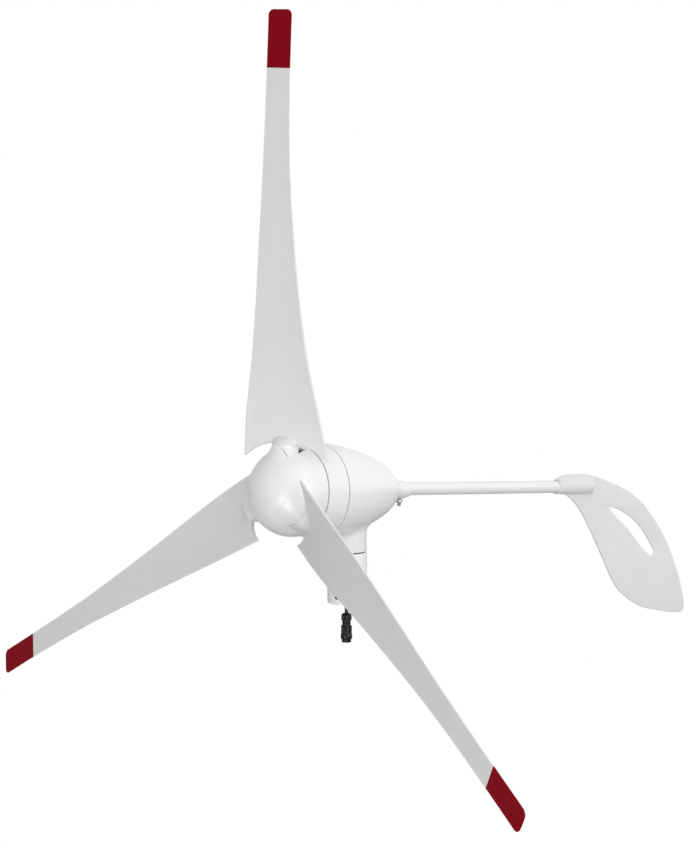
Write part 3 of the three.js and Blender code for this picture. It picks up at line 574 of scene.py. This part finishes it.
def add_nacelle():
    outline = [(shell_radius(s), s, 0) for s in levels(SHELL_FRONT, TAIL_SOCKET["from"], 44)[1:]]
    socket, end, lip = TAIL_SOCKET["radius"], TAIL_SOCKET["end"], TAIL_SOCKET["lip"]
    rear = [(17.2, 99.5, 0), (14.6, 102, 0.8), (13.5, 105, 1.5), (socket, 108, 1), (socket, end, 0.9)]
    rear += [(11.6, end + 1, 0.5), (TAIL_SOCKET["lip_radius"] + 0.2, lip, 0.5), (0, lip, 0)]
    widest = SHELL_OUTLINE[0][1]
    front = [(widest - SHELL_WALL, SHELL_FRONT, 0), (65.9, SHELL_FRONT, 0), (widest, SHELL_FRONT + 0.55, 0)]
    hollow = reversed(levels(SHELL_FRONT, SHELL_FLOOR - 2, 16)[1:])
    inner = [(shell_radius(s) - SHELL_WALL, s) for s in hollow]
    profile = [(0, SHELL_FLOOR)] + inner + rounded(front + outline + rear)
    shell = piece("nacelle_casting", [along_y(turned(profile))], head, "head", "white_shell",
                  ["nacelle_shell"])
    cut(shell, [rod(NECK["bore"], 40, 130, 0, FINE)], mast)
    boom_bore = along_y(rod(BOOM["radius"] + 0.15, 90, 140, 0))
    cut(shell, [moved(boom_bore, z=BOOM["rise"])], head)
    cut(shell, [rod(TAIL_BOLT["radius"] + CLEARANCE, -30, 0, 0)], at_tail_bolt)

    height = spin["pos_m"][2] / MM

    def underside(x, y):
        """How far below the origin the shell's lowest surface is at x, y; negative above it."""
        past, drop = y, -60
        for _ in range(12):
            drop = -math.sqrt(max(1, shell_radius(YAW_STATION + past) ** 2 - x * x))
            past = (y - drop * math.sin(tilt)) / math.cos(tilt)
        return -(height - past * math.sin(tilt) + drop * math.cos(tilt))

    flip = Matrix.Rotation(math.pi, 4, "X")
    neck = skirt(lambda x, y: underside(x, -y), NECK["bore"], NECK["radius"], lambda angle: -NECK["bottom"],
                 NECK["fillet"], foot=3)
    piece("yaw_neck", [neck], flip, "head", "white_shell")


# ---------------------------------------------------------------- tail


def add_boom():
    profile = rounded([(BOOM["bore"], BOOM["from"], 0.2), (BOOM["radius"], BOOM["from"], 0.3),
                       (BOOM["radius"], BOOM["to"], 0.5), (BOOM["bore"], BOOM["to"], 0.2)], 3)
    tube_shape = moved(along_y(turned(profile, MEDIUM)), z=BOOM["rise"])
    boom = piece("boom_tube", [tube_shape], head, "head", "white_shell", ["tail_boom"])
    cut(boom, [rod(TAIL_BOLT["radius"] + CLEARANCE, -30, 30, 0)], at_tail_bolt)
    stud = rod(TAIL_BOLT["radius"], TAIL_BOLT["low"], TAIL_BOLT["high"], 0.5)
    piece("boom_stud", [stud], at_tail_bolt, "head", "steel", ["tail_bolt"])
    low, high = TAIL_BOLT["nut_top"] - TAIL_BOLT["nut_height"], TAIL_BOLT["nut_top"] - 0.9
    nut = turned(rounded([(2.65, low, 0.3), (4.5, low, 0.5), (4.5, high, 0.5), (2.65, high, 0.3)], 3), 6)
    washer = tube(2.7, 5.4, high + 0.05, high + 0.85, 0.2)
    piece("boom_nut", [nut, washer], at_tail_bolt, "head", "steel", ["tail_nut"], sharp=25)


def catmull(points, steps=10):
    """Points along a uniform Catmull-Rom curve through the given ones, the last one left out."""
    made = []
    for k in range(len(points) - 1):
        p1, p2 = Vector(points[k]), Vector(points[k + 1])
        p0 = Vector(points[k - 1]) if k else p1
        p3 = Vector(points[k + 2]) if k + 2 < len(points) else p2
        v0, v1 = (p2 - p0) / 2, (p3 - p1) / 2
        for i in range(steps):
            t = i / steps
            cube, square = 2 * p1 - 2 * p2 + v0 + v1, 3 * p2 - 3 * p1 - 2 * v0 - v1
            made.append(cube * t**3 + square * t * t + v0 * t + p1)
    return made


def quadratic(start, control, end, steps=10):
    """Points along a quadratic curve, the last one left out."""
    start, control, end = Vector(start), Vector(control), Vector(end)
    places = [i / steps for i in range(steps)]
    return [start * (1 - t) ** 2 + control * 2 * t * (1 - t) + end * t * t for t in places]


def vane_outline():
    """The vane's outline in the head frame's (station, height)."""
    front = VANE["front"]
    outline = catmull(VANE_TOP)
    outline += catmull([VANE_TOP[-1], (692, -67.5), (721, -104), (746, -146.5), (761, -182)])
    outline += quadratic((761, -182), (768, -205), (749, -204))
    outline += catmull([(749, -204), (722, -202), (657, -190.5), (608, -167), (582, -142.5), (559, -111)])
    outline += catmull([(559, -111), (530, -71.5), (504.5, -40), (484.5, -22), (463, -10), (front, -5)])
    return outline + [Vector((front, -5))]


def vane_slot():
    slot = catmull([(564, -31), (581, -44), (616, -68.5), (651.5, -98), (670, -109)])
    slot += quadratic((670, -109), (681.5, -113), (682.5, -104))
    return slot + catmull([(682.5, -104), (659, -77.5), (631.5, -54.5), (589, -35), (564, -31)])


def plate_shape(outlines, thickness, edge):
    """A flat plate with rounded edges between filled outlines, thin along +Z."""
    curve = bpy.data.curves.new("outline", "CURVE")
    curve.dimensions = "2D"
    curve.fill_mode = "BOTH"
    curve.extrude = thickness / 2 - edge
    curve.bevel_depth = edge
    curve.bevel_resolution = 2
    curve.offset = -edge
    for outline in outlines:
        spline = curve.splines.new("POLY")
        spline.points.add(len(outline) - 1)
        spline.use_cyclic_u = True
        for point, at in zip(spline.points, outline):
            point.co = (at.x, at.y, 0, 1)
    holder = bpy.data.objects.new("outline", curve)
    bpy.context.scene.collection.objects.link(holder)
    bpy.context.view_layer.update()
    mesh = bpy.data.meshes.new_from_object(holder.evaluated_get(bpy.context.evaluated_depsgraph_get()))
    shape = [tuple(v.co) for v in mesh.vertices], [list(p.vertices) for p in mesh.polygons]
    bpy.data.objects.remove(holder)
    bpy.data.curves.remove(curve)
    return shape


def pocket_section(shrink, top):
    """The folded sleeve round the boom, as (x, height) points down one side and up the other."""
    radius = VANE["pocket_radius"] - shrink
    half = VANE["thickness"] / 2 + 0.1
    rise = BOOM["rise"]
    # The straight side meets the circle where the radius stands square to it.
    lean = math.atan2(half, top - rise) + math.acos(radius / math.hypot(half, top - rise))
    points = [Vector((-half + 0.3, top)), Vector((-half, top - 0.3))]
    count = 30
    for k in range(count + 1):
        angle = math.pi / 2 + lean + (TURN - 2 * lean) * k / count
        points.append(Vector((radius * math.cos(angle), rise + radius * math.sin(angle))))
    return points + [Vector((half, top - 0.3)), Vector((half - 0.3, top))]


def pocket_shape():
    """The sleeve as rings along the boom, its top following the plate's edge and its rear end slanted."""
    front, end = VANE["front"] + 0.4, VANE["pocket_end"]
    ends = [(0, 1.6), (0.25, 0.7), (0.9, 0.15), (1.8, 0)]
    stations = [(front + inset, shrink, 0) for inset, shrink in ends]
    stations += [(station, 0, 0) for station in levels(front + 6, front + 30, 6)]
    stations += [(station, 0, 0.5) for station in (front + 42, front + 56)]
    stations += [(end - inset, shrink, 1) for inset, shrink in reversed(ends)]
    rings = []
    for station, shrink, slant in stations:
        top = max(BOOM["rise"] + VANE["pocket_radius"] + 0.2, smooth_row(VANE_TOP, 1, station) - 1)
        section = pocket_section(shrink, top)
        rings.append([(x, station + slant * 0.22 * (height - 5), height) for x, height in section])
    around = len(rings[0])
    faces = loop_faces(len(rings), around, False)
    faces.append(list(range(around)))
    faces.append([(len(rings) - 1) * around + k for k in reversed(range(around))])
    return [point for ring in rings for point in ring], faces


def add_vane():
    points, faces = plate_shape([vane_outline(), vane_slot()], VANE["thickness"], 0.9)
    plate = [(z, x, y) for x, y, z in points], faces
    vane = piece("vane_plate", [plate], head, "head", "blade_white", ["tail_vane"])
    pocket = piece("vane_pocket", [pocket_shape()], head, "head", "blade_white", sharp=50)
    bore = along_y(rod(BOOM["radius"] + 0.15, VANE["front"] - 6, BOOM["to"] + 0.5, 0))
    bore = moved(bore, z=BOOM["rise"])
    cut(vane, [bore], head)
    cut(pocket, [bore], head, 50)


# ---------------------------------------------------------------- spinner


def ball(inset, steps=40):
    """The ball's outline as (radius, station) in the rotor frame, from its nose to its rim."""
    centre, rim = SPINNER["centre"] - HUB_STATION, SPINNER["rim"] - HUB_STATION
    length, radius = SPINNER["length"] - inset, SPINNER["radius"] - inset
    last = math.pi - math.acos((rim - centre) / length)
    angles = [last * k / steps for k in range(steps + 1)]
    return [(radius * math.sin(angle), centre - length * math.cos(angle)) for angle in angles]


def add_spinner():
    outer, inner = ball(0), ball(SPINNER["wall"], 20)
    rim = [(outer[-1][0], outer[-1][1], 0.7), (inner[-1][0], inner[-1][1], 0.5)]
    lip = rounded([(*outer[-2], 0), *rim, (*inner[-2], 0)])[1:-1]
    profile = outer[:-1] + lip + inner[-2::-1]
    spinner = piece("spinner_ball", [along_y(turned(profile))], rotor, "rotor", "white_shell",
                    ["nose_cone"])
    centre = SPINNER["centre"] - HUB_STATION

    def over_ball(x, y):
        across = SPINNER["radius"] ** 2 * (1 - ((y + ROOT_AXIS - centre) / SPINNER["length"]) ** 2)
        return math.sqrt(max(1, across - x * x))

    collar = skirt(over_ball, COLLAR["inner"], COLLAR["outer"], lambda angle: COLLAR["high"],
                   COLLAR["fillet"])
    window = [(x, y - ROOT_AXIS, z) for z in (40, 80) for x, y in WINDOW]
    window = window, [[0, 2, 1], [3, 4, 5], [0, 1, 4, 3], [1, 2, 5, 4], [2, 0, 3, 5]]
    for number in range(3):
        place = blade_frame(number) @ Matrix.Translation((0, ROOT_AXIS * MM, 0))
        cut(spinner, [rod(COLLAR["inner"], 30, 80, 0)], place)
        cut(spinner, [window], place)
        made = piece(f"root_collar_{number + 1}", [collar], place, "rotor", "white_shell")
        cut(made, [window], place)
        cut(made, [parting_groove()], place)


def parting_groove():
    """A thin curved wall that stands across the collar along its parting line."""
    half, low, high = GROOVE["half_width"], GROOVE["from"], GROOVE["to"]
    points = []
    for k, (degrees, height) in enumerate(PARTING):
        before, after = PARTING[max(0, k - 1)], PARTING[min(len(PARTING) - 1, k + 1)]
        across = math.radians(after[0] - before[0]) * COLLAR["outer"]
        run = Vector((across, after[1] - before[1])).normalized()
        for side, radius in ((-1, low), (1, low), (1, high), (-1, high)):
            angle = math.radians(degrees) + side * half * -run.y / COLLAR["outer"]
            points.append((radius * math.sin(angle), -radius * math.cos(angle), height + side * half * run.x))
    last = 4 * (len(PARTING) - 1)
    faces = loop_faces(len(PARTING), 4, False)
    return points, faces + [[0, 1, 2, 3], [last + 3, last + 2, last + 1, last]]


# ---------------------------------------------------------------- blades


def root_span(across):
    """Where the plate's root edge lies, at a distance from the blade's axis towards the leading edge."""
    curve = FISHTAIL["lead_curve" if across > 0 else "trail_curve"]
    span = FISHTAIL["depth"] - curve * max(0, abs(across) - FISHTAIL["neck"]) ** 2
    return max(span, FISHTAIL["blunt"]) if across > 0 else span


def tip_span(across, half_chord):
    past = max(0, abs(across) - (half_chord - TIP_CORNER))
    return TIP_TO - TIP_CORNER + math.sqrt(max(0, TIP_CORNER**2 - past**2))


def boss_radius(span):
    """The round root's radius, fading into the plate."""
    fade = (span - ROOT_BOSS["shoulder"]) / (ROOT_BOSS["to"] - ROOT_BOSS["shoulder"])
    widest = COLLAR["outer"] - 0.1 if span > COLLAR["high"] else ROOT_BOSS["radius"]
    return widest * math.sqrt(max(0, 1 - max(0, fade) ** 2))


def soft_max(a, b, blend):
    h = max(blend - abs(a - b), 0) / blend
    return max(a, b) + h * h * blend / 4


def half_thickness(t, chord):
    """Half the section's thickness at t of the chord from the leading edge, with both edges rounded."""
    full = AEROFOIL["base"] + AEROFOIL["share"] * chord
    body = max(0.42, math.sqrt(2.6 * t) * (1 - t) + 0.35 * t)
    return full * body * rounding(t, AEROFOIL["nose"]) * (0.25 + 0.75 * rounding(1 - t, AEROFOIL["tail"]))


def blade_point(t, span, sag, ends):
    """The points of a blade's two faces at t of the chord and a span; ends are its root and tip edge."""
    chord, pitch, stand, sweep = blade_section(span)
    bend = max(0, (span - SAG_FROM) / (TIP_TO - SAG_FROM)) ** 2
    c, s = math.cos(math.radians(pitch)), math.sin(math.radians(pitch))
    along = (0.5 - t) * chord
    middle = Vector((-sweep - sag[0] * bend - along * c, -stand + sag[1] * bend - along * s))
    normal = Vector((-s, c))
    middle += normal * (AEROFOIL["camber"] * chord * 4 * t * (1 - t))
    half = half_thickness(t, chord)
    root, tip = ends
    half *= 0.72 + 0.28 * rounding(max(0, span - root), 0.9)
    half *= 0.2 + 0.8 * rounding(max(0, tip - span), 1.8)
    faces = [half, half]
    radius = boss_radius(span)
    if radius > 1:
        off = middle - Vector((0, ROOT_AXIS))
        across, away = off.dot(Vector((-c, -s))), off.dot(normal)
        bulge = math.sqrt(max(0, radius**2 - across**2))
        if bulge > 0:
            blend = ROOT_BOSS["blend"]
            faces = [soft_max(half, bulge - away, blend), soft_max(half, bulge + away, blend)]
    return [(middle + normal * side * reach, span) for side, reach in zip((1, -1), faces)]


def chord_steps():
    """Places across the chord: close together at both edges and over the round root."""
    leading = [0, 0.0015, 0.005, 0.011, 0.02, 0.035, 0.06, 0.1, 0.15, 0.21, 0.27, 0.32]
    middle = [0.34 + 0.32 * k / 34 for k in range(35)]
    trailing = [0, 0.0015, 0.004, 0.009, 0.016, 0.03, 0.06, 0.11, 0.17, 0.23, 0.29, 0.325]
    return leading + middle + [1 - t for t in reversed(trailing)]


def span_steps(from_root):
    """Fractions of the span between two edges, closer together at the root or else at the tip."""
    even = [k / 60 for k in range(61)]
    root = [0.0008, 0.0016, 0.003, 0.005, 0.01, 0.022, 0.027, 0.039, 0.044, 0.055, 0.061, 0.072]
    tip = [1 - t for t in (0.0015, 0.004, 0.008, 0.014, 0.022, 0.04)]
    return sorted(even + (root if from_root else tip))


def blade_shell(sag, from_root):
    """A blade's plate from its fishtail root to the colour's edge, or its tip from there outwards."""
    grid = []
    for t in chord_steps():
        root = TIP_FROM
        for _ in range(8):
            chord, pitch, stand, sweep = blade_section(min(root, 66))
            angle = math.radians(pitch)
            across = (0.5 - t) * chord + sweep * math.cos(angle) + stand * math.sin(angle)
            root = root_span(across)
        half = smooth_row(BLADE_SECTIONS, 1, TIP_TO) / 2
        tip = tip_span((0.5 - t) * 2 * half, half)
        low, high = (root, TIP_FROM - 0.05) if from_root else (TIP_FROM + 0.05, tip)
        steps = span_steps(from_root)
        grid.append([blade_point(t, low + (high - low) * v, sag, (root, tip)) for v in steps])
    rows, columns = len(grid[0]), len(grid)
    points = []
    for side in (0, 1):
        for column in grid:
            points += [(pair[side][0].x, pair[side][0].y, pair[side][1]) for pair in column]
    other = rows * columns
    faces = []
    for j in range(columns - 1):
        for i in range(rows - 1):
            a, b = j * rows + i, (j + 1) * rows + i
            faces.append([a, b, b + 1, a + 1])
            faces.append([other + a, other + a + 1, other + b + 1, other + b])
        for i in (0, rows - 1):
            a, b = j * rows + i, (j + 1) * rows + i
            faces.append([a, b, other + b, other + a])
    for j in (0, columns - 1):
        for i in range(rows - 1):
            a = j * rows + i
            faces.append([a, a + 1, other + a + 1, other + a])
    return points, faces


def add_blades():
    for number, sag in enumerate(BLADE_SAG):
        place = blade_frame(number)
        neck = rod(ROOT_BOSS["radius"], ROOT_BOSS["from"], ROOT_BOSS["shoulder"] + 1, 0.3, 96)
        spigot = rod(SPIGOT["radius"], SPIGOT["from"], SPIGOT["to"], 0.6)
        shapes = [blade_shell(sag, True), moved(neck, y=ROOT_AXIS), moved(spigot, y=ROOT_AXIS)]
        piece(f"blade_moulding_{number + 1}", shapes, place, "rotor", "blade_white",
              [f"blade_{number + 1}"], sharp=45)
        piece(f"tip_band_{number + 1}", [blade_shell(sag, False)], place, "rotor", "blade_red",
              [f"blade_tip_{number + 1}"], sharp=45)


# ---------------------------------------------------------------- studio


def show_white(tree, lit, white, surface_socket):
    """Shows a plain white shader to the camera, and leaves the other one to light the object."""
    mix = tree.nodes.new("ShaderNodeMixShader")
    seen = tree.nodes.new("ShaderNodeLightPath")
    tree.links.new(seen.outputs["Is Camera Ray"], mix.inputs["Fac"])
    tree.links.new(lit, mix.inputs[1])
    tree.links.new(white, mix.inputs[2])
    tree.links.new(mix.outputs["Shader"], surface_socket)


def add_floor():
    """A pale floor far below the turbine: white to the eye, and as a light a mid-grey one."""
    bpy.ops.mesh.primitive_circle_add(vertices=96, radius=FLOOR["radius"], fill_type="NGON",
                                      location=(0, 0, FLOOR["height"]))
    floor = bpy.context.object
    floor.name = "floor"
    material = bpy.data.materials.new("floor")
    material.use_nodes = True
    nodes = material.node_tree.nodes
    grey = nodes["Principled BSDF"]
    grey.inputs["Base Color"].default_value = FLOOR["colour"]
    grey.inputs["Roughness"].default_value = FLOOR["roughness"]
    glow = nodes.new("ShaderNodeEmission")
    glow.inputs["Color"].default_value = WHITE
    show_white(material.node_tree, grey.outputs["BSDF"], glow.outputs["Emission"],
               nodes["Material Output"].inputs["Surface"])
    floor.data.materials.append(material)


def add_world():
    """A plain white room: white to the eye, and as a light a soft one that is brighter on one side."""
    world = bpy.data.worlds.new("studio")
    bpy.context.scene.world = world
    world.use_nodes = True
    nodes, links = world.node_tree.nodes, world.node_tree.links
    place = nodes.new("ShaderNodeTexCoord")
    side = nodes.new("ShaderNodeVectorMath")
    side.operation = "DOT_PRODUCT"
    side.inputs[1].default_value = ROOM["lean"]
    level = nodes.new("ShaderNodeMath")
    level.operation = "MULTIPLY_ADD"
    level.inputs[1].default_value = ROOM["strength"]
    level.inputs[2].default_value = ROOM["strength"]
    dim = nodes["Background"]
    dim.inputs["Color"].default_value = WHITE
    links.new(place.outputs["Generated"], side.inputs[0])
    links.new(side.outputs["Value"], level.inputs[0])
    links.new(level.outputs["Value"], dim.inputs["Strength"])
    white = nodes.new("ShaderNodeBackground")
    white.inputs["Color"].default_value = WHITE
    white.inputs["Strength"].default_value = 1
    show_white(world.node_tree, dim.outputs["Background"], white.outputs["Background"],
               nodes["World Output"].inputs["Surface"])


def add_softbox(name, at, towards, size, power):
    light = bpy.data.lights.new(name, "AREA")
    light.shape = "SQUARE"
    light.size = size
    light.energy = power
    lamp = bpy.data.objects.new(name, light)
    bpy.context.scene.collection.objects.link(lamp)
    lamp.location = at
    lamp.rotation_euler = (Vector(towards) - Vector(at)).to_track_quat("-Z", "Y").to_euler()


def add_studio():
    add_floor()
    add_world()
    for name, (at, towards, size, power) in SOFTBOXES.items():
        add_softbox(name, at, towards, size, power)
    bpy.context.scene.view_settings.view_transform = "Standard"


add_sleeve()
add_housing()
add_nacelle()
add_boom()
add_vane()
add_spinner()
add_blades()
add_studio()
